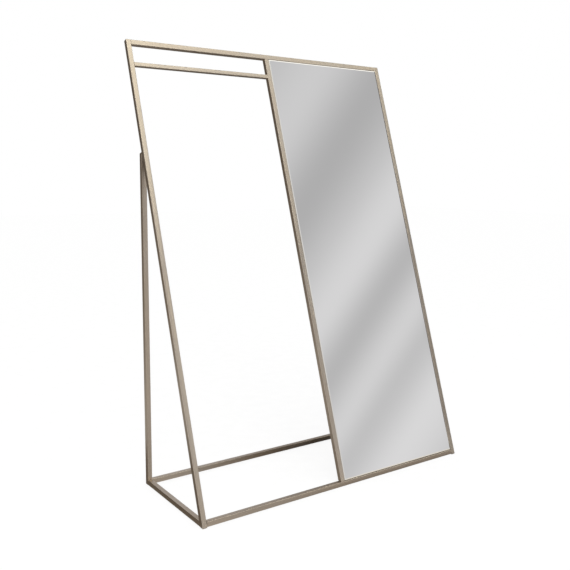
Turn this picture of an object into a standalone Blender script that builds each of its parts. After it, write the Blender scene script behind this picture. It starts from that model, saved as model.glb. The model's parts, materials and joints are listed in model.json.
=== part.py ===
"""Leaning floor mirror with an open clothes bay, on a rigid stand of square steel tube.

Three stiles lean back from a flat base: the bay between the left and centre stiles is open
and carries a hanging rail, and the bay between the centre and right stiles holds the mirror.
Nothing on it moves. Metres, +Z up, +X to the right and +Y to the rear, seen from the front.
The origin is on the floor, below the middle of the object's box.

Leaning pieces are drawn in the frame's own axes: X across, Y in from the front plane and Z
up along the stiles. Their parent empty tilts them back.
"""
import math

import bmesh
import bpy

# Overall sizes
WIDTH = 1.325
STILE_LENGTH = 1.898          # up the front plane, from the tube's foot to its top
BASE_DEPTH = 0.484            # front face of the front rail to the rear face of the posts
LEAN = math.radians(18.3)
POST_TOP = 1.4375             # where the posts are cut off square, measured up the stiles

# Square tube
TUBE = 0.020
TUBE_WALL = 0.0012
TUBE_CORNER = 0.0015
HANGING_TUBE = 0.016
HANGING_DROP = 0.0945         # top of the stiles to the top of the hanging rail
CORNER_STEPS = 4
GAP = 0.0003                  # between pieces that touch

# Metal plates that close the tube tops
CAP_THICKNESS = 0.002
CAP_CHAMFER = 0.0004

# Plastic feet pushed into the tube ends
GLIDE_HEAD = 0.0012
GLIDE_CHAMFER = 0.0004
GLIDE_INSET = 0.0008           # of the head, from the tube's sides
GLIDE_RIBS = 3
GLIDE_RIB_PITCH = 0.004
GLIDE_RIB_DEPTH = 0.0008
GLIDE_RIB_RISE = 0.0008
GLIDE_RIB_HEIGHT = 0.0032
GLIDE_CORNER_STEPS = 2

# Mirror, its backing and its fixings, listed from the front plane to the rear
MIRROR_CLEARANCE = 0.001
GLASS_SETBACK = 0.0006
GLASS_THICKNESS = 0.005
BEVEL_WIDTH = 0.0042
BEVEL_DEPTH = 0.0010
TAPE_THICKNESS = 0.001
TAPE_WIDTH = 0.020
TAPE_COUNT = 4
TAPE_END_MARGIN = 0.070
BOARD_THICKNESS = 0.009
BOARD_INSET = 0.0015
BOARD_BEVEL = 0.0006
TAB_THICKNESS = 0.0015
TAB_WIDTH = 0.024
TAB_HEIGHT = 0.032
TAB_CORNER = 0.004
TAB_HOLE = 0.0046
TABS_PER_SIDE = 3
TAB_END_FRACTION = 0.10       # of the mirror's height, from each end to the nearest tab
SCREW_SHANK = 0.0036
SCREW_HEAD = 0.0080
SCREW_HEAD_HEIGHT = 0.0024
SCREW_LENGTH = 0.009
SCREW_TIP = 0.0006
RECESS_REACH = 0.0021
RECESS_HALF_WIDTH = 0.0005
RECESS_DEPTH = 0.0012
PILOT_HOLE = 0.0042
ROUND_STEPS = 24              # the same as the points of the screws' cross recess

# Worked out from the sizes above
SIN = math.sin(LEAN)
COS = math.cos(LEAN)
TAN = math.tan(LEAN)
BASE_Z = GLIDE_HEAD + GAP
FOOT_DEPTH = TUBE / COS
FOOT_Y = (TUBE - FOOT_DEPTH - TUBE * TAN) / 2     # the front rail is centred on the stiles' feet
REAR_Y = FOOT_Y + STILE_LENGTH * SIN + TUBE * COS
Y_SHIFT = -(FOOT_Y + REAR_Y) / 2
LEFT_X = -WIDTH / 2
RIGHT_X = WIDTH / 2
CENTRE_STILE_X = -TUBE / 2
POST_Y = BASE_DEPTH - TUBE
SIDES = (("left", LEFT_X), ("right", RIGHT_X - TUBE))

GLASS_BACK = GLASS_SETBACK + GLASS_THICKNESS
TAPE_FRONT = GLASS_BACK + GAP
TAPE_BACK = TAPE_FRONT + TAPE_THICKNESS
BOARD_FRONT = TAPE_BACK + GAP
BOARD_BACK = BOARD_FRONT + BOARD_THICKNESS
TAB_FRONT = BOARD_BACK + GAP
TAB_BACK = TAB_FRONT + TAB_THICKNESS
BAY_LEFT = CENTRE_STILE_X + TUBE
BAY_RIGHT = RIGHT_X - TUBE
BAY_TOP = STILE_LENGTH - TUBE


# ---------------------------------------------------------------- outlines

def arc(centre, radius, first_angle, steps):
    """Points of a quarter circle, counter-clockwise."""
    quarter = math.pi / 2
    angles = [first_angle + quarter * i / steps for i in range(steps + 1)]
    return [(centre[0] + radius * math.cos(a), centre[1] + radius * math.sin(a)) for a in angles]


def rounded_rectangle(low, high, radius, steps=CORNER_STEPS, split=None):
    """Counter-clockwise outline; split adds a point on both upright sides at that height."""
    near_x, near_y = low[0] + radius, low[1] + radius
    far_x, far_y = high[0] - radius, high[1] - radius
    outline = arc((near_x, near_y), radius, math.pi, steps)
    outline += arc((far_x, near_y), radius, 1.5 * math.pi, steps)
    if split is not None:
        outline.append((high[0], split))
    outline += arc((far_x, far_y), radius, 0.0, steps)
    outline += arc((near_x, far_y), radius, 0.5 * math.pi, steps)
    if split is not None:
        outline.append((low[0], split))
    return outline


def circle(radius, steps=ROUND_STEPS, first_angle=0.0):
    angles = [first_angle + 2 * math.pi * i / steps for i in range(steps)]
    return [(radius * math.cos(a), radius * math.sin(a)) for a in angles]


def cross_outline(reach, half_width):
    """A plus-shaped outline, six points to an arm."""
    middle = (reach + half_width) / 2
    arm = [
        (reach, -half_width),
        (reach, 0.0),
        (reach, half_width),
        (middle, half_width),
        (half_width, half_width),
        (half_width, middle),
    ]
    outline = []
    for quarter in range(4):
        turn = quarter * math.pi / 2
        c, s = math.cos(turn), math.sin(turn)
        outline += [(c * x - s * y, s * x + c * y) for x, y in arm]
    return outline


# ---------------------------------------------------------------- mesh builders

def mesh_from(name, points, faces):
    mesh = bpy.data.meshes.new(name)
    mesh.from_pydata([tuple(p) for p in points], [], faces)
    work = bmesh.new()
    work.from_mesh(mesh)
    bmesh.ops.recalc_face_normals(work, faces=work.faces[:])
    work.to_mesh(mesh)
    work.free()
    mesh.shade_smooth()
    mesh.set_sharp_from_angle(angle=math.radians(35))
    return mesh


def strip_faces(first_ring, second_ring, count):
    """Quads between two rings of points, given by the index of their first point."""
    faces = []
    for i in range(count):
        j = (i + 1) % count
        faces.append((first_ring + i, first_ring + j, second_ring + j, second_ring + i))
    return faces


def lofted_mesh(name, rings):
    """A closed body through rings of equal count, capped at both ends."""
    count = len(rings[0])
    points = [p for ring in rings for p in ring]
    faces = []
    for k in range(len(rings) - 1):
        faces += strip_faces(k * count, (k + 1) * count, count)
    faces.append(tuple(range(count)))
    faces.append(tuple(range((len(rings) - 1) * count, len(rings) * count)))
    return mesh_from(name, points, faces)


def hollow_mesh(name, outer_start, outer_end, inner_end, inner_start):
    """A body with a through hole: four rings joined into a closed band."""
    count = len(outer_start)
    points = list(outer_start) + list(outer_end) + list(inner_end) + list(inner_start)
    faces = []
    for k in range(4):
        faces += strip_faces(k * count, ((k + 1) % 4) * count, count)
    return mesh_from(name, points, faces)


def tube_mesh(name, size, place, start, end, split=None):
    """Open-ended square tube. place(p, q, a) turns section and length into a point;
    start(q) and end(q) give the length at which each end is cut, for a height q in the section."""
    outer = rounded_rectangle((0, 0), (size, size), TUBE_CORNER, split=split)
    inner_low = (TUBE_WALL, TUBE_WALL)
    inner_high = (size - TUBE_WALL, size - TUBE_WALL)
    inner = rounded_rectangle(inner_low, inner_high, TUBE_CORNER - TUBE_WALL, split=split)
    return hollow_mesh(
        name,
        [place(p, q, start(q)) for p, q in outer],
        [place(p, q, end(q)) for p, q in outer],
        [place(p, q, end(q)) for p, q in inner],
        [place(p, q, start(q)) for p, q in inner],
    )


def box_mesh(name, low, high):
    low_x, low_y, low_z = low
    high_x, high_y, high_z = high
    corners = ((low_x, low_y), (high_x, low_y), (high_x, high_y), (low_x, high_y))
    rings = [[(x, y, z) for x, y in corners] for z in (low_z, high_z)]
    return lofted_mesh(name, rings)


# ---------------------------------------------------------------- scene helpers

def clear_scene():
    for thing in list(bpy.data.objects):
        bpy.data.objects.remove(thing, do_unlink=True)


def finish(name, color, metallic, roughness):
    """A plain material for one kind of surface."""
    material = bpy.data.materials.new(name)
    material.use_nodes = True
    shader = material.node_tree.nodes["Principled BSDF"]
    shader.inputs["Base Color"].default_value = (*color, 1.0)
    shader.inputs["Metallic"].default_value = metallic
    shader.inputs["Roughness"].default_value = roughness
    material.diffuse_color = (*color, 1.0)
    material.metallic = metallic
    material.roughness = roughness
    return material


def add_empty(name, location, lean):
    empty = bpy.data.objects.new(name, None)
    empty.location = location
    empty.rotation_euler = (-lean, 0.0, 0.0)
    bpy.context.scene.collection.objects.link(empty)
    return empty


def add_piece(name, mesh, material, parent, location=(0.0, 0.0, 0.0)):
    if not mesh.materials:
        mesh.materials.append(material)
    piece = bpy.data.objects.new(name, mesh)
    piece.parent = parent
    piece.location = location
    bpy.context.scene.collection.objects.link(piece)
    return piece


def round_edges(piece, width, segments=2):
    bevel = piece.modifiers.new("edge_rounding", "BEVEL")
    bevel.width = width
    bevel.segments = segments
    bevel.limit_method = "ANGLE"


def upright(p, q, a):
    """Section across X and Y, length along Z."""
    return (p, q, a)


def crosswise(p, q, a):
    """Section across Y and Z, length along X."""
    return (a, p, q)


def lengthwise(p, q, a):
    """Section across X and Z, length along Y."""
    return (p, a, q)


def level_cut(height):
    """Cut of a leaning tube at a height above its foot, for a depth q behind the front plane."""
    return lambda q: (height + q * SIN) / COS


def fixed(value):
    return lambda q: value


# ---------------------------------------------------------------- leaning frame

def make_stiles(metal, leaning):
    """Outer stiles run to the floor; the centre stile stands on the front rail."""
    for side, x in SIDES:
        top = STILE_LENGTH - CAP_THICKNESS - GAP
        mesh = tube_mesh(f"{side}_stile", TUBE, upright, level_cut(0.0), fixed(top))
        add_piece(f"{side}_stile", mesh, metal, leaning, (x, 0.0, 0.0))
    foot = level_cut(TUBE + GAP)
    top = fixed(BAY_TOP - GAP)
    mesh = tube_mesh("centre_stile", TUBE, upright, foot, top)
    add_piece("centre_stile", mesh, metal, leaning, (CENTRE_STILE_X, 0.0, 0.0))


def make_stile_caps(metal, leaning):
    """Square plates welded on the stiles' open tops."""
    low = (0.0, 0.0)
    high = (TUBE, TUBE)
    inner_low = (CAP_CHAMFER, CAP_CHAMFER)
    inner_high = (TUBE - CAP_CHAMFER, TUBE - CAP_CHAMFER)
    outline = rounded_rectangle(low, high, TUBE_CORNER)
    inset = rounded_rectangle(inner_low, inner_high, TUBE_CORNER - CAP_CHAMFER)
    rings = [
        [(x, y, 0.0) for x, y in outline],
        [(x, y, CAP_THICKNESS - CAP_CHAMFER) for x, y in outline],
        [(x, y, CAP_THICKNESS) for x, y in inset],
    ]
    for side, x in SIDES:
        mesh = lofted_mesh(f"{side}_stile_cap", rings)
        place = (x, 0.0, STILE_LENGTH - CAP_THICKNESS)
        add_piece(f"{side}_stile_cap", mesh, metal, leaning, place)


def make_frame_rails(metal, leaning):
    """Top rail across both bays, and the thinner hanging rail across the open bay."""
    start = fixed(LEFT_X + TUBE + GAP)
    end = fixed(RIGHT_X - TUBE - GAP)
    mesh = tube_mesh("top_rail", TUBE, crosswise, start, end)
    add_piece("top_rail", mesh, metal, leaning, (0.0, 0.0, BAY_TOP))
    end = fixed(CENTRE_STILE_X - GAP)
    mesh = tube_mesh("hanging_rail", HANGING_TUBE, crosswise, start, end)
    place = (0.0, 0.0, STILE_LENGTH - HANGING_DROP - HANGING_TUBE)
    add_piece("hanging_rail", mesh, metal, leaning, place)


# ---------------------------------------------------------------- floor base and posts

def make_floor_rails(metal, stand):
    """Front rail between the stiles, rear rail between the posts, and the two side rails."""
    start = fixed(LEFT_X + TUBE + GAP)
    end = fixed(RIGHT_X - TUBE - GAP)
    for name, y in (("front_floor_rail", 0.0), ("rear_floor_rail", POST_Y)):
        mesh = tube_mesh(name, TUBE, crosswise, start, end)
        add_piece(name, mesh, metal, stand, (0.0, y, 0.0))

    def against_stile(height):
        return FOOT_Y + height * TAN + (TUBE + GAP) / COS

    for side, x in SIDES:
        name = f"{side}_floor_rail"
        rear = fixed(POST_Y - GAP)
        mesh = tube_mesh(name, TUBE, lengthwise, against_stile, rear)
        add_piece(name, mesh, metal, stand, (x, 0.0, 0.0))


def height_behind_stile(y):
    """Height at which a vertical line at depth y meets the back of the stiles."""
    depth = TUBE + GAP
    along = (y - FOOT_Y - depth * COS) / SIN
    return along * COS - depth * SIN


def height_on_square_cut(y, along):
    """Height at depth y of a cut made square to the stiles, a length along them."""
    depth = (y - FOOT_Y - along * SIN) / COS
    return along * COS - depth * SIN


def crease_depth(along):
    """Depth at which such a square cut meets the back of the stiles."""
    return FOOT_Y + along * SIN + (TUBE + GAP) * COS


def make_posts(metal, stand):
    """Upright tubes, mitred to the back of the stiles and cut off square to them."""
    cut = POST_TOP - CAP_THICKNESS - GAP
    crease = crease_depth(cut) - POST_Y

    def top(q):
        y = POST_Y + q
        return min(height_behind_stile(y), height_on_square_cut(y, cut))

    for side, x in SIDES:
        name = f"{side}_post"
        mesh = tube_mesh(name, TUBE, upright, fixed(0.0), top, split=crease)
        add_piece(name, mesh, metal, stand, (x, POST_Y, 0.0))


def make_post_caps(metal, stand):
    """Plates welded on the posts' square-cut tops, flush with the tube's sides and back."""

    def ring(along, inset):
        front = crease_depth(along) + inset
        back_low = BASE_DEPTH - TUBE_CORNER
        outline = [(TUBE - inset, front)]
        outline += arc((TUBE - TUBE_CORNER, back_low), TUBE_CORNER - inset, 0.0, CORNER_STEPS)
        outline += arc((TUBE_CORNER, back_low), TUBE_CORNER - inset, 0.5 * math.pi, CORNER_STEPS)
        outline.append((inset, front))
        return [(x, y, height_on_square_cut(y, along)) for x, y in outline]

    rings = [
        ring(POST_TOP - CAP_THICKNESS, 0.0),
        ring(POST_TOP - CAP_CHAMFER, 0.0),
        ring(POST_TOP, CAP_CHAMFER),
    ]
    for side, x in SIDES:
        mesh = lofted_mesh(f"{side}_post_cap", rings)
        add_piece(f"{side}_post_cap", mesh, metal, stand, (x, 0.0, 0.0))


# ---------------------------------------------------------------- feet

def glide_mesh(name, section_depth, slope):
    """Foot with a ribbed plug. section_depth is the tube end's depth on the floor, and slope is
    how far the plug moves to the rear for each unit that it rises."""
    stretch = section_depth / TUBE
    fit = TUBE_WALL + GAP

    def ring(height, inset, corner, lean):
        far = TUBE - inset
        outline = rounded_rectangle((inset, inset), (far, far), corner, GLIDE_CORNER_STEPS)
        shift = (height - BASE_Z) * lean
        return [(x, y * stretch + shift, height) for x, y in outline]

    root_inset = fit + GLIDE_RIB_DEPTH
    plug_corner = TUBE_CORNER - TUBE_WALL
    rings = [
        ring(0.0, GLIDE_INSET + GLIDE_CHAMFER, TUBE_CORNER - GLIDE_CHAMFER, 0.0),
        ring(GLIDE_CHAMFER, GLIDE_INSET, TUBE_CORNER, 0.0),
        ring(GLIDE_HEAD, GLIDE_INSET, TUBE_CORNER, 0.0),
        ring(GLIDE_HEAD, root_inset, plug_corner, slope),
    ]
    for rib in range(GLIDE_RIBS):
        root = GLIDE_HEAD + (rib + 0.5) * GLIDE_RIB_PITCH
        rings.append(ring(root, root_inset, plug_corner, slope))
        rings.append(ring(root + GLIDE_RIB_RISE, fit, plug_corner, slope))
        rings.append(ring(root + GLIDE_RIB_HEIGHT, root_inset, plug_corner, slope))
    return lofted_mesh(name, rings)


def make_glides(plastic, floor):
    for side, x in SIDES:
        mesh = glide_mesh(f"{side}_stile_glide", FOOT_DEPTH, TAN)
        add_piece(f"{side}_stile_glide", mesh, plastic, floor, (x, FOOT_Y, 0.0))
        mesh = glide_mesh(f"{side}_post_glide", TUBE, 0.0)
        add_piece(f"{side}_post_glide", mesh, plastic, floor, (x, POST_Y, 0.0))


# ---------------------------------------------------------------- mirror and its backing

def bay_floor(depth, clearance):
    """Lowest point, up the stiles, for a square edge whose rear side is at this depth."""
    return (TUBE + clearance + depth * SIN) / COS


def make_glass(glass, leaning):
    """Silvered pane with a polished bevel round its front."""
    low = (BAY_LEFT + MIRROR_CLEARANCE, bay_floor(GLASS_BACK, GAP))
    high = (BAY_RIGHT - MIRROR_CLEARANCE, BAY_TOP - MIRROR_CLEARANCE)

    def ring(depth, inset):
        left, right = low[0] + inset, high[0] - inset
        bottom, top = low[1] + inset, high[1] - inset
        corners = ((left, bottom), (right, bottom), (right, top), (left, top))
        return [(x, depth, z) for x, z in corners]

    rings = [
        ring(GLASS_BACK, 0.0),
        ring(GLASS_SETBACK + BEVEL_DEPTH, 0.0),
        ring(GLASS_SETBACK, BEVEL_WIDTH),
    ]
    mesh = lofted_mesh("mirror_glass", rings)
    mesh.shade_flat()
    add_piece("mirror_glass", mesh, glass, leaning)


def board_span():
    """Lower and upper corner of the backing board, across and up the frame."""
    margin = MIRROR_CLEARANCE + BOARD_INSET
    low = (BAY_LEFT + margin, bay_floor(BOARD_BACK, BOARD_INSET))
    high = (BAY_RIGHT - margin, BAY_TOP - margin)
    return low, high


def make_tape(foam, leaning):
    """Upright strips of foam tape that bond the glass to its board."""
    low, high = board_span()
    spacing = (high[0] - low[0]) / TAPE_COUNT
    size = (TAPE_WIDTH, TAPE_THICKNESS, high[1] - low[1] - 2 * TAPE_END_MARGIN)
    mesh = box_mesh("mirror_tape", (0.0, 0.0, 0.0), size)
    for i in range(TAPE_COUNT):
        x = low[0] + (i + 0.5) * spacing - TAPE_WIDTH / 2
        place = (x, TAPE_FRONT, low[1] + TAPE_END_MARGIN)
        add_piece(f"mirror_tape_{i + 1}", mesh, foam, leaning, place)


def fixing_places():
    """Name and screw position of each fixing tab, across and up the frame."""
    low, high = board_span()
    reach = GAP + TAB_WIDTH / 2
    columns = (("left", BAY_LEFT + reach), ("right", BAY_RIGHT - reach))
    height = high[1] - low[1]
    pitch = height * (1 - 2 * TAB_END_FRACTION) / (TABS_PER_SIDE - 1)
    places = []
    for side, x in columns:
        for i in range(TABS_PER_SIDE):
            z = low[1] + height * TAB_END_FRACTION + i * pitch
            places.append((f"{side}_{i + 1}", x, z))
    return places


def make_board(wood, leaning):
    """Backing board, drilled part way for the screws."""
    low, high = board_span()
    corner_low = (low[0], BOARD_FRONT, low[1])
    corner_high = (high[0], BOARD_BACK, high[1])
    board = add_piece("backing_board", box_mesh("backing_board", corner_low, corner_high),
                      wood, leaning)
    round_edges(board, BOARD_BEVEL)
    depth = SCREW_LENGTH - TAB_THICKNESS
    outline = circle(PILOT_HOLE / 2)
    for name, x, z in fixing_places():
        mouth = [(p, BOARD_BACK + depth, q) for p, q in outline]
        bottom = [(p, BOARD_BACK - depth, q) for p, q in outline]
        cutter_name = f"pilot_hole_{name}"
        cutter = add_piece(cutter_name, lofted_mesh(cutter_name, [bottom, mouth]),
                           wood, leaning, (x, 0.0, z))
        cutter.hide_render = True
        cutter.display_type = "WIRE"
        drill = board.modifiers.new(cutter_name, "BOOLEAN")
        drill.operation = "DIFFERENCE"
        drill.solver = "EXACT"
        drill.object = cutter


def make_tabs(metal, leaning):
    """Flat tabs welded inside the bay, behind the board, each with a hole for its screw."""
    half = (TAB_WIDTH / 2, TAB_HEIGHT / 2)
    steps = ROUND_STEPS // 4 - 1
    outline = rounded_rectangle((-half[0], -half[1]), half, TAB_CORNER, steps=steps)
    hole = circle(TAB_HOLE / 2, first_angle=math.pi)
    mesh = hollow_mesh(
        "fixing_tab",
        [(x, 0.0, z) for x, z in outline],
        [(x, TAB_THICKNESS, z) for x, z in outline],
        [(x, TAB_THICKNESS, z) for x, z in hole],
        [(x, 0.0, z) for x, z in hole],
    )
    for name, x, z in fixing_places():
        add_piece(f"fixing_tab_{name}", mesh, metal, leaning, (x, TAB_FRONT, z))


def make_screws(zinc, leaning):
    """Pan-head screws with a cross recess, through the tabs into the board."""
    turned = [
        (-SCREW_LENGTH, SCREW_TIP),
        (SCREW_SHANK - SCREW_LENGTH, SCREW_SHANK / 2),
        (0.0, SCREW_SHANK / 2),
        (0.0, SCREW_HEAD / 2),
        (0.35 * SCREW_HEAD_HEIGHT, SCREW_HEAD / 2),
        (0.75 * SCREW_HEAD_HEIGHT, 0.43 * SCREW_HEAD),
        (SCREW_HEAD_HEIGHT, 0.32 * SCREW_HEAD),
    ]
    start = -math.atan2(RECESS_HALF_WIDTH, RECESS_REACH)
    rings = [[(x, y, z) for x, z in circle(radius, first_angle=start)] for y, radius in turned]
    recess = cross_outline(RECESS_REACH, RECESS_HALF_WIDTH)
    rings.append([(x, SCREW_HEAD_HEIGHT, z) for x, z in recess])
    rings.append([(0.6 * x, SCREW_HEAD_HEIGHT - RECESS_DEPTH, 0.6 * z) for x, z in recess])
    mesh = lofted_mesh("fixing_screw", rings)
    for name, x, z in fixing_places():
        add_piece(f"fixing_screw_{name}", mesh, zinc, leaning, (x, TAB_BACK + GAP, z))


# ---------------------------------------------------------------- whole object

def main():
    clear_scene()
    metal = finish("champagne_metal", (0.50, 0.42, 0.33), 1.0, 0.32)
    glass = finish("mirror", (0.86, 0.88, 0.88), 1.0, 0.02)
    wood = finish("backing_board", (0.22, 0.18, 0.15), 0.0, 0.75)
    foam = finish("foam_tape", (0.75, 0.75, 0.73), 0.0, 0.90)
    plastic = finish("black_plastic", (0.03, 0.03, 0.03), 0.0, 0.50)
    zinc = finish("zinc_screw", (0.62, 0.62, 0.60), 1.0, 0.35)

    leaning = add_empty("leaning_frame", (0.0, Y_SHIFT + FOOT_Y, BASE_Z), LEAN)
    stand = add_empty("stand", (0.0, Y_SHIFT, BASE_Z), 0.0)
    floor = add_empty("floor", (0.0, Y_SHIFT, 0.0), 0.0)

    make_stiles(metal, leaning)
    make_stile_caps(metal, leaning)
    make_frame_rails(metal, leaning)
    make_floor_rails(metal, stand)
    make_posts(metal, stand)
    make_post_caps(metal, stand)
    make_glides(plastic, floor)
    make_glass(glass, leaning)
    make_tape(foam, leaning)
    make_board(wood, leaning)
    make_tabs(metal, leaning)
    make_screws(zinc, leaning)


main()
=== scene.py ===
"""Looks of the leaning floor mirror with a clothes rail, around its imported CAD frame.

The camera and the studio come first, then one material for each slot of the record.
Everything is in metres, in the row frame: +X to the right, +Y to the rear, +Z up.
"""
import json
import math

import bpy
from mathutils import Matrix, Vector

# ---- camera, as in the photograph
CAMERA_PLACE = Vector((-1.888, -2.5648, 1.2811))
CAMERA_YAW = math.radians(35.03)
CAMERA_PITCH = math.radians(-7.80)
CAMERA_ROLL = math.radians(0.39)
CAMERA_LENS = 47.07
CAMERA_SHIFT_Y = -0.0165

# ---- the frame's directions
LEAN = math.radians(18.3)
ALONG_X = Vector((1.0, 0.0, 0.0))
ALONG_Y = Vector((0.0, 1.0, 0.0))
ALONG_Z = Vector((0.0, 0.0, 1.0))
ALONG_STILE = Vector((0.0, math.sin(LEAN), math.cos(LEAN)))
FRAME_FRONT = Vector((0.0, -math.cos(LEAN), math.sin(LEAN)))

# ---- the studio's floor, key light and even light from all round
FLOOR_SIZE = 40.0
KEY_SIZE = 2.6
KEY_PLACE = Vector((-1.2, -3.0, 3.6))
KEY_TARGET = Vector((0.1, 0.0, 0.7))
KEY_POWER = 60.0
KEY_COLOUR = (1.0, 0.985, 0.96)
FILL = 1.13


def heading(azimuth, elevation):
    """A direction: azimuth 0 is to the front (-Y) and grows towards +X, both in degrees."""
    turn = math.radians(azimuth)
    rise = math.radians(elevation)
    flat = math.cos(rise)
    return Vector((math.sin(turn) * flat, -math.cos(turn) * flat, math.sin(rise)))


class Graph:
    """Adds nodes to one node tree. An input takes a plain value or another node's output."""

    def __init__(self, tree):
        self.tree = tree
        tree.nodes.clear()

    def add(self, kind, inputs=(), **settings):
        made = self.tree.nodes.new(kind)
        for name, value in settings.items():
            setattr(made, name, value)
        for name, value in dict(inputs).items():
            self.feed(made.inputs[name], value)
        return made

    def feed(self, socket, value):
        if isinstance(value, bpy.types.NodeSocket):
            self.tree.links.new(value, socket)
        else:
            socket.default_value = value

    def math(self, operation, *values, clamp=False):
        made = self.add("ShaderNodeMath", operation=operation, use_clamp=clamp)
        for socket, value in zip(made.inputs, values):
            self.feed(socket, value)
        return made.outputs[0]

    def vector(self, operation, *values, out="Vector"):
        made = self.add("ShaderNodeVectorMath", operation=operation)
        for socket, value in zip(made.inputs, values):
            self.feed(socket, value)
        return made.outputs[out]

    def dot(self, vector, direction):
        return self.vector("DOT_PRODUCT", vector, direction, out="Value")

    def scaled(self, vector, factor):
        made = self.add("ShaderNodeVectorMath", {"Vector": vector, "Scale": factor}, operation="SCALE")
        return made.outputs["Vector"]

    def remap(self, value, low, high, to_low=0.0, to_high=1.0):
        """A smooth step from to_low, where value is low, to to_high, where it is high."""
        made = self.add("ShaderNodeMapRange", interpolation_type="SMOOTHSTEP")
        for name, given in (("Value", value), ("From Min", low), ("From Max", high)):
            self.feed(made.inputs[name], given)
        self.feed(made.inputs["To Min"], to_low)
        self.feed(made.inputs["To Max"], to_high)
        return made.outputs["Result"]

    def noise(self, vector, scale, detail, roughness=0.5):
        inputs = {"Vector": vector, "Scale": scale, "Detail": detail, "Roughness": roughness}
        return self.add("ShaderNodeTexNoise", inputs).outputs["Fac"]

    def ramp(self, value, stops):
        """Grey levels at their positions, both from 0 to 1, with a smooth curve through them."""
        made = self.add("ShaderNodeValToRGB", {"Fac": value})
        made.color_ramp.interpolation = "CARDINAL"
        elements = made.color_ramp.elements
        while len(elements) < len(stops):
            elements.new(0.5)
        for element, (position, level) in zip(elements, stops):
            element.position = position
            element.color = (level, level, level, 1.0)
        return made.outputs["Color"]

    def mix(self, factor, first, second, blend="MIX"):
        made = self.add("ShaderNodeMix", data_type="RGBA", blend_type=blend)
        self.feed(made.inputs[0], factor)
        self.feed(made.inputs[6], first)
        self.feed(made.inputs[7], second)
        return made.outputs[2]

    def blend(self, factor, first, second):
        """A number between first and second."""
        made = self.add("ShaderNodeMix", data_type="FLOAT")
        self.feed(made.inputs[0], factor)
        self.feed(made.inputs[2], first)
        self.feed(made.inputs[3], second)
        return made.outputs[0]


def new_material(name):
    material = bpy.data.materials.new(name)
    material.use_nodes = True
    return material, Graph(material.node_tree)


# ---------------------------------------------------------------- camera and studio

def make_camera():
    data = bpy.data.cameras.new("camera")
    data.lens = CAMERA_LENS
    data.sensor_width = 36.0
    data.shift_y = CAMERA_SHIFT_Y
    data.clip_end = 100.0
    camera = bpy.data.objects.new("camera", data)
    bpy.context.scene.collection.objects.link(camera)
    turn = Matrix.Rotation(-CAMERA_YAW, 4, "Z")
    tilt = Matrix.Rotation(math.pi / 2 + CAMERA_PITCH, 4, "X")
    roll = Matrix.Rotation(CAMERA_ROLL, 4, "Z")
    camera.matrix_world = Matrix.Translation(CAMERA_PLACE) @ turn @ tilt @ roll
    bpy.context.scene.camera = camera


# Soft diagonal bands of light on the studio's walls, which the mirror shows. The axis runs across
# the bands, and each stop is a distance along it with the wall's brightness there.
BAND_AXIS = Vector((-0.609, -0.175, 0.774))
BAND_REACH = 0.32
BAND_STOPS = (
    (-0.32, 0.66),
    (-0.25, 0.60),
    (-0.18, 0.77),
    (-0.13, 0.60),
    (-0.095, 0.71),
    (-0.05, 0.53),
    (-0.005, 0.74),
    (0.045, 0.62),
    (0.105, 0.48),
    (0.17, 0.67),
    (0.25, 0.58),
    (0.32, 0.66),
)

# Soft lights of the studio: where each is, how wide it is in degrees (full inside the first angle
# and gone outside the second), and its colour.
SOFT_LIGHTS = (
    (heading(25, 51), 3, 13, (5.40, 5.35, 4.20)),
    (heading(25, 36), 2, 10, (1.30, 1.29, 1.20)),
    (heading(3, 25), 12, 27, (0.20, 0.20, 0.21)),
    (heading(65, 37), 2, 11, (2.60, 2.57, 2.05)),
    (heading(69, 52), 8, 17, (0.80, 0.78, 0.74)),
    (heading(-70, 40), 8, 40, (0.80, 0.78, 0.72)),
    (heading(166, 30), 6, 31, (0.80, 0.80, 0.81)),
)

# Zones where the walls are darker: the share of a direction along +Y, +X or +Z at which the zone
# starts and at which it is full, and the share of light left in it. The wall behind the object is
# also warmer.
WALL_BEHIND = (-0.1, 0.5, 0.16)
WALL_RIGHT = (0.70, 0.745, 0.05)
WALL_HIGH = (0.76, 0.94, 0.35)
WALL_WARM = (1.0, 0.80, 0.55, 1.0)
WALL_WHITE = (1.0, 1.0, 1.0, 1.0)


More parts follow.
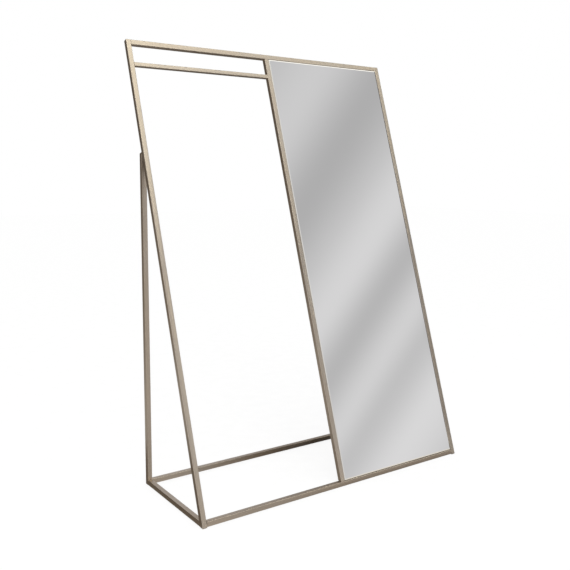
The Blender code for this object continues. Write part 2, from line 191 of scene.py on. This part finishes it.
def make_world():
    """White to the camera. Reflections see the banded walls and the soft lights."""
    world = bpy.data.worlds.new("studio")
    world.use_nodes = True
    bpy.context.scene.world = world
    graph = Graph(world.node_tree)
    direction = graph.add("ShaderNodeTexCoord").outputs["Generated"]
    rearward = graph.dot(direction, ALONG_Y)
    sideward = graph.dot(direction, ALONG_X)
    height = graph.dot(direction, ALONG_Z)

    across = graph.dot(direction, BAND_AXIS)
    place = graph.math("MULTIPLY_ADD", across, 0.5 / BAND_REACH, 0.5, clamp=True)
    stops = [(0.5 + at * 0.5 / BAND_REACH, level) for at, level in BAND_STOPS]
    walls = graph.ramp(place, stops)

    start, full, left = WALL_BEHIND
    behind = graph.remap(rearward, start, full)
    level = graph.math("MULTIPLY", walls, graph.blend(behind, 1.0, left))
    for share, (start, full, left) in ((sideward, WALL_RIGHT), (height, WALL_HIGH)):
        level = graph.math("MULTIPLY", level, graph.remap(share, start, full, 1.0, left))
    tint = graph.mix(behind, WALL_WHITE, WALL_WARM)
    light_sum = graph.scaled(tint, level)
    for towards, inner, outer, colour in SOFT_LIGHTS:
        near = graph.dot(direction, towards)
        edge = math.cos(math.radians(outer))
        core = math.cos(math.radians(inner))
        light_sum = graph.vector("ADD", light_sum, graph.scaled(colour, graph.remap(near, edge, core)))

    light = graph.add("ShaderNodeBackground", {"Color": light_sum, "Strength": 1.0})
    rays = graph.add("ShaderNodeLightPath")
    fill = graph.blend(rays.outputs["Is Camera Ray"], FILL, 1.0)
    backdrop = graph.add("ShaderNodeBackground", {"Color": WALL_WHITE, "Strength": fill})
    shown = graph.add("ShaderNodeMixShader", {"Fac": rays.outputs["Is Glossy Ray"]})
    graph.feed(shown.inputs[1], backdrop.outputs[0])
    graph.feed(shown.inputs[2], light.outputs[0])
    graph.add("ShaderNodeOutputWorld", {"Surface": shown.outputs[0]})


def make_key_light():
    """A large soft light from the front left, which reflections don't see."""
    data = bpy.data.lights.new("key", "AREA")
    data.shape = "SQUARE"
    data.size = KEY_SIZE
    data.energy = KEY_POWER
    data.color = KEY_COLOUR
    key = bpy.data.objects.new("key", data)
    bpy.context.scene.collection.objects.link(key)
    key.location = KEY_PLACE
    key.rotation_euler = (KEY_TARGET - KEY_PLACE).to_track_quat("-Z", "Y").to_euler()
    key.visible_glossy = False


# What reflections see of the floor: pale in front, with painted shade in soft darker patches round
# the object and a painted pool of light in one narrow brighter patch, the last, in front of the
# mirror's foot. Each patch has its centre, its half-widths along X and Y, the share of the
# half-width that is at full effect, and the share of light there.
# Brightness of the glow that reflections see in place of the lit floor: a painted reflection.
FLOOR_REFLECTED_GLOW = 0.65
FLOOR_PAINTED_SHADE_AND_LIGHT = (
    (Vector((0.57, 0.34, 0.0)), (1.35, 1.08), 0.25, 0.05),
    (Vector((-1.00, 0.02, 0.0)), (0.38, 0.62), 0.85, 0.24),
    (Vector((1.00, 2.10, 0.0)), (1.80, 1.60), 0.50, 0.13),
    (Vector((1.90, -1.20, 0.0)), (1.30, 1.30), 0.40, 0.12),
    (Vector((-6.00, 12.0, 0.0)), (6.20, 13.0), 0.80, 0.37),
    (Vector((0.36, -0.475, 0.0)), (0.80, 0.14), 0.62, 2.80),
)
FLOOR_PAINT = ((0.90, 0.90, 0.90, 1.0), (0.94, 0.94, 0.94, 1.0))
# Tints of the floor as reflections see it: warm in its painted shade, pale where it is painted lit.
FLOOR_SHADE_WARM = (1.0, 0.80, 0.56, 1.0)
FLOOR_PALE = (1.0, 0.94, 0.86, 1.0)
FLOOR_SOFTENING = 0.87
FLOOR_GLOW = 1.08


def make_floor():
    """A pale seamless floor, part paint and part glow so that it stays even.

    Reflections see a glow with painted shade and a painted pool of light instead, darker and warmer than
    the camera does.
    """
    mesh = bpy.data.meshes.new("floor")
    half = FLOOR_SIZE / 2
    corners = [(-half, -half, 0.0), (half, -half, 0.0), (half, half, 0.0), (-half, half, 0.0)]
    mesh.from_pydata(corners, [], [(0, 1, 2, 3)])
    floor = bpy.data.objects.new("floor", mesh)
    bpy.context.scene.collection.objects.link(floor)

    paint, graph = new_material("floor_paint")
    place = graph.add("ShaderNodeTexCoord").outputs["Object"]
    mottle = graph.noise(place, 14.0, 4.0)
    pale = graph.mix(mottle, *FLOOR_PAINT)
    share = 1.0
    # Each patch paints shade, or for the last one a pool of light, into what reflections see of the
    # floor.
    for centre, reach, full, left in FLOOR_PAINTED_SHADE_AND_LIGHT:
        offset = graph.vector("DIVIDE", graph.vector("SUBTRACT", place, centre), (*reach, 1.0))
        squared = graph.vector("MULTIPLY", offset, offset)
        near = graph.math("SQRT", graph.vector("LENGTH", squared, out="Value"))
        share = graph.math("MULTIPLY", share, graph.remap(near, full, 1.0, left, 1.0))
    # Painted shade is tinted warm and the painted lit floor pale.
    tint = graph.mix(graph.remap(share, 0.1, 0.8), FLOOR_SHADE_WARM, FLOOR_PALE)
    painted_floor_reflection = graph.scaled(tint, graph.math("MULTIPLY", share, FLOOR_REFLECTED_GLOW))
    surface = graph.add("ShaderNodeBsdfPrincipled", {"Base Color": pale, "Roughness": 0.9})
    lit = graph.add("ShaderNodeEmission", {"Color": pale, "Strength": FLOOR_GLOW})
    softened = graph.add("ShaderNodeMixShader", {"Fac": FLOOR_SOFTENING})
    graph.feed(softened.inputs[1], surface.outputs[0])
    graph.feed(softened.inputs[2], lit.outputs[0])
    # Reflections see this glow, the floor's painted light and shade, instead of its lit paint.
    painted_reflection_glow = graph.add("ShaderNodeEmission", {"Color": painted_floor_reflection, "Strength": 1.0})
    rays = graph.add("ShaderNodeLightPath")
    shown = graph.add("ShaderNodeMixShader", {"Fac": rays.outputs["Is Glossy Ray"]})
    graph.feed(shown.inputs[1], softened.outputs[0])
    graph.feed(shown.inputs[2], painted_reflection_glow.outputs[0])
    graph.add("ShaderNodeOutputMaterial", {"Surface": shown.outputs[0]})
    mesh.materials.append(paint)


# ---------------------------------------------------------------- materials

def finish_surface(graph, inputs, height, depth, strength):
    """Joins a Principled surface, with a bump of that depth in metres, to the output."""
    surface = graph.add("ShaderNodeBsdfPrincipled", inputs)
    bump = graph.add("ShaderNodeBump", {"Height": height, "Distance": depth, "Strength": strength})
    graph.feed(surface.inputs["Normal"], bump.outputs["Normal"])
    graph.add("ShaderNodeOutputMaterial", {"Surface": surface.outputs[0]})


CHAMPAGNE = (0.475, 0.408, 0.342, 1.0)
CHAMPAGNE_GREY = (0.475, 0.418, 0.364, 1.0)
CHAMPAGNE_WORN = (0.60, 0.52, 0.43, 1.0)
HAIRLINE_TONE = 0.10
BRUSHING_TONE = 0.14
BRUSHED_BUMP = 0.00003


def streaks(graph, place, grain, fine, coarse, detail):
    """Noise drawn out along the grain: fine is its scale across the grain and coarse along it."""
    along = graph.dot(place, grain)
    pull = graph.scaled(grain, graph.math("MULTIPLY", along, fine - coarse))
    drawn = graph.vector("SUBTRACT", graph.scaled(place, fine), pull)
    return graph.noise(drawn, 1.0, detail)


def champagne_metal(name, grain, leaning=False):
    """Brushed tube: the grain runs along the tube, and the rounded edges are rubbed brighter."""
    material, graph = new_material(name)
    place = graph.add("ShaderNodeTexCoord").outputs["Object"]
    hairline = streaks(graph, place, grain, 1500.0, 9.0, 2.0)
    brushing = streaks(graph, place, grain, 260.0, 3.5, 3.0)
    cloud = graph.noise(place, 4.0, 3.0)
    smudge = graph.noise(place, 16.0, 4.0, 0.6)

    normal = graph.add("ShaderNodeNewGeometry").outputs["True Normal"]
    sides = (ALONG_X, FRAME_FRONT, ALONG_STILE) if leaning else (ALONG_X, ALONG_Y, ALONG_Z)
    facing = [graph.math("ABSOLUTE", graph.dot(normal, side)) for side in sides]
    flatness = graph.math("MAXIMUM", graph.math("MAXIMUM", facing[0], facing[1]), facing[2])
    edge = graph.remap(flatness, 0.90, 0.995, 1.0, 0.0)
    worn = graph.math("MULTIPLY", edge, graph.remap(smudge, 0.35, 0.62, 0.15, 0.8))

    tone = graph.mix(graph.remap(cloud, 0.3, 0.7), CHAMPAGNE, CHAMPAGNE_GREY)
    shade = graph.math("MULTIPLY_ADD", brushing, BRUSHING_TONE, 1.0 - (HAIRLINE_TONE + BRUSHING_TONE) / 2)
    shade = graph.math("MULTIPLY_ADD", hairline, HAIRLINE_TONE, shade)
    shaded = graph.mix(1.0, tone, shade, "MULTIPLY")
    colour = graph.mix(worn, shaded, CHAMPAGNE_WORN)

    rough = graph.math("MULTIPLY_ADD", hairline, 0.16, 0.27)
    rough = graph.math("MULTIPLY_ADD", smudge, 0.10, rough)
    rough = graph.blend(worn, rough, 0.26)
    height = graph.blend(0.4, hairline, brushing)
    inputs = {
        "Base Color": colour,
        "Metallic": 1.0,
        "Roughness": rough,
        "Anisotropic": 0.45,
        "Anisotropic Rotation": 0.25,
        "Coat Weight": 0.12,
        "Coat Roughness": 0.3,
        "Tangent": tuple(grain),
    }
    finish_surface(graph, inputs, height, BRUSHED_BUMP, 0.3)
    return material


MIRROR_SILVER = (0.885, 0.88, 0.885, 1.0)
SILVER_SPECK = (0.75, 0.75, 0.75, 1.0)
BEVEL_SILVER = (0.80, 0.78, 0.74, 1.0)
GROUND_EDGE = (0.50, 0.56, 0.53, 1.0)
MIRROR_BACK_PAINT = ((0.16, 0.17, 0.18, 1.0), (0.20, 0.21, 0.22, 1.0))


def mirror():
    """Silvered glass: a polished bevel, ground green-grey edges and paint on the back."""
    material, graph = new_material("mirror_silvered_glass")
    place = graph.add("ShaderNodeTexCoord").outputs["Object"]
    normal = graph.add("ShaderNodeNewGeometry").outputs["True Normal"]
    facing = graph.dot(normal, FRAME_FRONT)
    bevel = graph.remap(facing, 0.985, 0.995, 1.0, 0.0)
    edge = graph.remap(graph.math("ABSOLUTE", facing), 0.3, 0.6, 1.0, 0.0)
    behind = graph.remap(facing, -0.9, -0.8, 1.0, 0.0)

    wipe = streaks(graph, place, ALONG_X, 9.0, 2.5, 3.0)
    speck = graph.noise(place, 900.0, 2.0)
    ground = graph.noise(place, 2600.0, 2.0)
    film = graph.math("MULTIPLY", graph.remap(wipe, 0.5, 0.75), 0.018)
    polish = graph.math("ADD", film, graph.blend(bevel, 0.006, 0.09))

    silver = graph.mix(graph.remap(speck, 0.72, 0.8), MIRROR_SILVER, SILVER_SPECK)
    silver = graph.mix(bevel, silver, BEVEL_SILVER)
    painted = graph.mix(graph.remap(ground, 0.3, 0.7), *MIRROR_BACK_PAINT)
    colour = graph.mix(behind, graph.mix(edge, silver, GROUND_EDGE), painted)
    dull = graph.math("MAXIMUM", edge, behind)
    rough = graph.blend(dull, polish, graph.math("MULTIPLY_ADD", ground, 0.2, 0.38))
    metallic = graph.math("SUBTRACT", 1.0, dull)
    waves = graph.noise(place, 1.6, 1.0)
    height = graph.math("MULTIPLY_ADD", graph.math("MULTIPLY", ground, dull), 0.05, waves)
    inputs = {"Base Color": colour, "Metallic": metallic, "Roughness": rough}
    finish_surface(graph, inputs, height, 0.0004, 0.5)
    return material


BOARD_BROWN = ((0.205, 0.165, 0.135, 1.0), (0.245, 0.20, 0.163, 1.0))
BOARD_FIBRE = (0.36, 0.29, 0.23, 1.0)
BOARD_HOLLOW = (0.10, 0.08, 0.065, 1.0)
BOARD_SCREEN_PITCH = 0.0022


def backing_board():
    """Hardboard: matted brown fibres and the fine screen pattern of its rough side."""
    material, graph = new_material("backing_hardboard")
    place = graph.add("ShaderNodeTexCoord").outputs["Object"]
    fibres = streaks(graph, place, ALONG_STILE, 520.0, 60.0, 3.0)
    cross_fibres = streaks(graph, place, ALONG_X, 420.0, 70.0, 3.0)
    mottle = graph.noise(place, 22.0, 5.0, 0.6)
    turns = 2 * math.pi / BOARD_SCREEN_PITCH
    weft = graph.math("SINE", graph.math("MULTIPLY", graph.dot(place, ALONG_X), turns))
    warp = graph.math("SINE", graph.math("MULTIPLY", graph.dot(place, ALONG_STILE), turns))
    screen = graph.math("MULTIPLY", weft, warp)

    matted = graph.math("MAXIMUM", fibres, cross_fibres)
    colour = graph.mix(graph.remap(mottle, 0.3, 0.7), *BOARD_BROWN)
    colour = graph.mix(graph.remap(matted, 0.55, 0.78), colour, BOARD_FIBRE)
    colour = graph.mix(graph.remap(screen, 0.2, 1.0, 0.0, 0.35), colour, BOARD_HOLLOW)
    rough = graph.math("MULTIPLY_ADD", mottle, 0.2, 0.66)
    height = graph.math("MULTIPLY_ADD", screen, 0.5, matted)
    finish_surface(graph, {"Base Color": colour, "Roughness": rough}, height, 0.0003, 0.6)
    return material


FOAM_WHITE = ((0.66, 0.66, 0.63, 1.0), (0.80, 0.80, 0.78, 1.0))


def foam_tape():
    """White closed-cell foam, faintly greyed."""
    material, graph = new_material("white_foam_tape")
    place = graph.add("ShaderNodeTexCoord").outputs["Object"]
    cells = graph.add("ShaderNodeTexVoronoi", {"Vector": place, "Scale": 1400.0}).outputs["Distance"]
    soil = graph.noise(place, 60.0, 3.0)
    colour = graph.mix(soil, *FOAM_WHITE)
    rough = graph.math("MULTIPLY_ADD", cells, 0.2, 0.75)
    finish_surface(graph, {"Base Color": colour, "Roughness": rough}, cells, 0.0002, 0.6)
    return material


PLASTIC_BLACK = (0.028, 0.028, 0.030, 1.0)
PLASTIC_SCUFFED = (0.14, 0.135, 0.13, 1.0)


def black_plastic():
    """Moulded feet: fine spark-eroded texture, scuffed grey by the floor."""
    material, graph = new_material("moulded_black_plastic")
    place = graph.add("ShaderNodeTexCoord").outputs["Object"]
    texture = graph.noise(place, 2200.0, 3.0)
    scuff = graph.noise(place, 240.0, 4.0, 0.65)
    height = graph.dot(place, ALONG_Z)
    low = graph.remap(height, 0.0004, 0.0022, 1.0, 0.0)
    worn = graph.math("MULTIPLY", low, graph.remap(scuff, 0.45, 0.7))
    colour = graph.mix(worn, PLASTIC_BLACK, PLASTIC_SCUFFED)
    rough = graph.math("MULTIPLY_ADD", scuff, 0.25, 0.42)
    finish_surface(graph, {"Base Color": colour, "Roughness": rough}, texture, 0.0001, 0.5)
    return material


ZINC_BLUE = (0.60, 0.62, 0.64, 1.0)
ZINC_STRAW = (0.64, 0.61, 0.54, 1.0)


def zinc():
    """Bright zinc plate with a faint blue and straw passivation."""
    material, graph = new_material("zinc_plate")
    place = graph.add("ShaderNodeTexCoord").outputs["Object"]
    tint = graph.noise(place, 350.0, 2.0)
    pitting = graph.noise(place, 3000.0, 3.0)
    colour = graph.mix(graph.remap(tint, 0.35, 0.65), ZINC_BLUE, ZINC_STRAW)
    rough = graph.math("MULTIPLY_ADD", pitting, 0.2, 0.22)
    inputs = {"Base Color": colour, "Metallic": 1.0, "Roughness": rough}
    finish_surface(graph, inputs, pitting, 0.00005, 0.5)
    return material


STILE_NODES = ("left_stile", "centre_stile", "right_stile")
POST_NODES = ("left_post", "right_post")
SIDE_RAIL_NODES = ("left_floor_rail", "right_floor_rail")
FLOOR_CROSS_NODES = ("front_floor_rail", "rear_floor_rail")


def paint_frame_nodes(frame):
    """Gives every CAD node the material of its slot, with the metal's grain along each tube."""
    stile = champagne_metal("champagne_stile", ALONG_STILE, leaning=True)
    leaning_rail = champagne_metal("champagne_leaning_rail", ALONG_X, leaning=True)
    floor_rail = champagne_metal("champagne_floor_rail", ALONG_X)
    side_rail = champagne_metal("champagne_side_rail", ALONG_Y)
    post = champagne_metal("champagne_post", ALONG_Z)
    by_slot = {
        "champagne_metal": leaning_rail,
        "mirror": mirror(),
        "backing_board": backing_board(),
        "foam_tape": foam_tape(),
        "black_plastic": black_plastic(),
        "zinc_screw": zinc(),
    }
    by_node = {name: stile for name in STILE_NODES}
    by_node.update({name: post for name in POST_NODES})
    by_node.update({name: side_rail for name in SIDE_RAIL_NODES})
    by_node.update({name: floor_rail for name in FLOOR_CROSS_NODES})
    for subpart in frame["record"]["subparts"]:
        name = subpart["node"]
        material = by_node.get(name, by_slot[subpart["material_slot"]])
        for material_slot in frame["nodes"][name].material_slots:
            material_slot.material = material


# ---------------------------------------------------------------- the scene

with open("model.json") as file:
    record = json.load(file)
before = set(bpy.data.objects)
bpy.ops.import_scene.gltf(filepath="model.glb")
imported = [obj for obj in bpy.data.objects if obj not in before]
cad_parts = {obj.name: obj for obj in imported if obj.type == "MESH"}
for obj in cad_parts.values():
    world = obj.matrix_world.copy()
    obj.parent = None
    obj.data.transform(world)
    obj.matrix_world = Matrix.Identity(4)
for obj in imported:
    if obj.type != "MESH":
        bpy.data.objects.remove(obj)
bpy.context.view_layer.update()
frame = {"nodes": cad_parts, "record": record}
bpy.context.scene.view_settings.view_transform = "Standard"
make_camera()
make_world()
make_key_light()
make_floor()
paint_frame_nodes(frame)
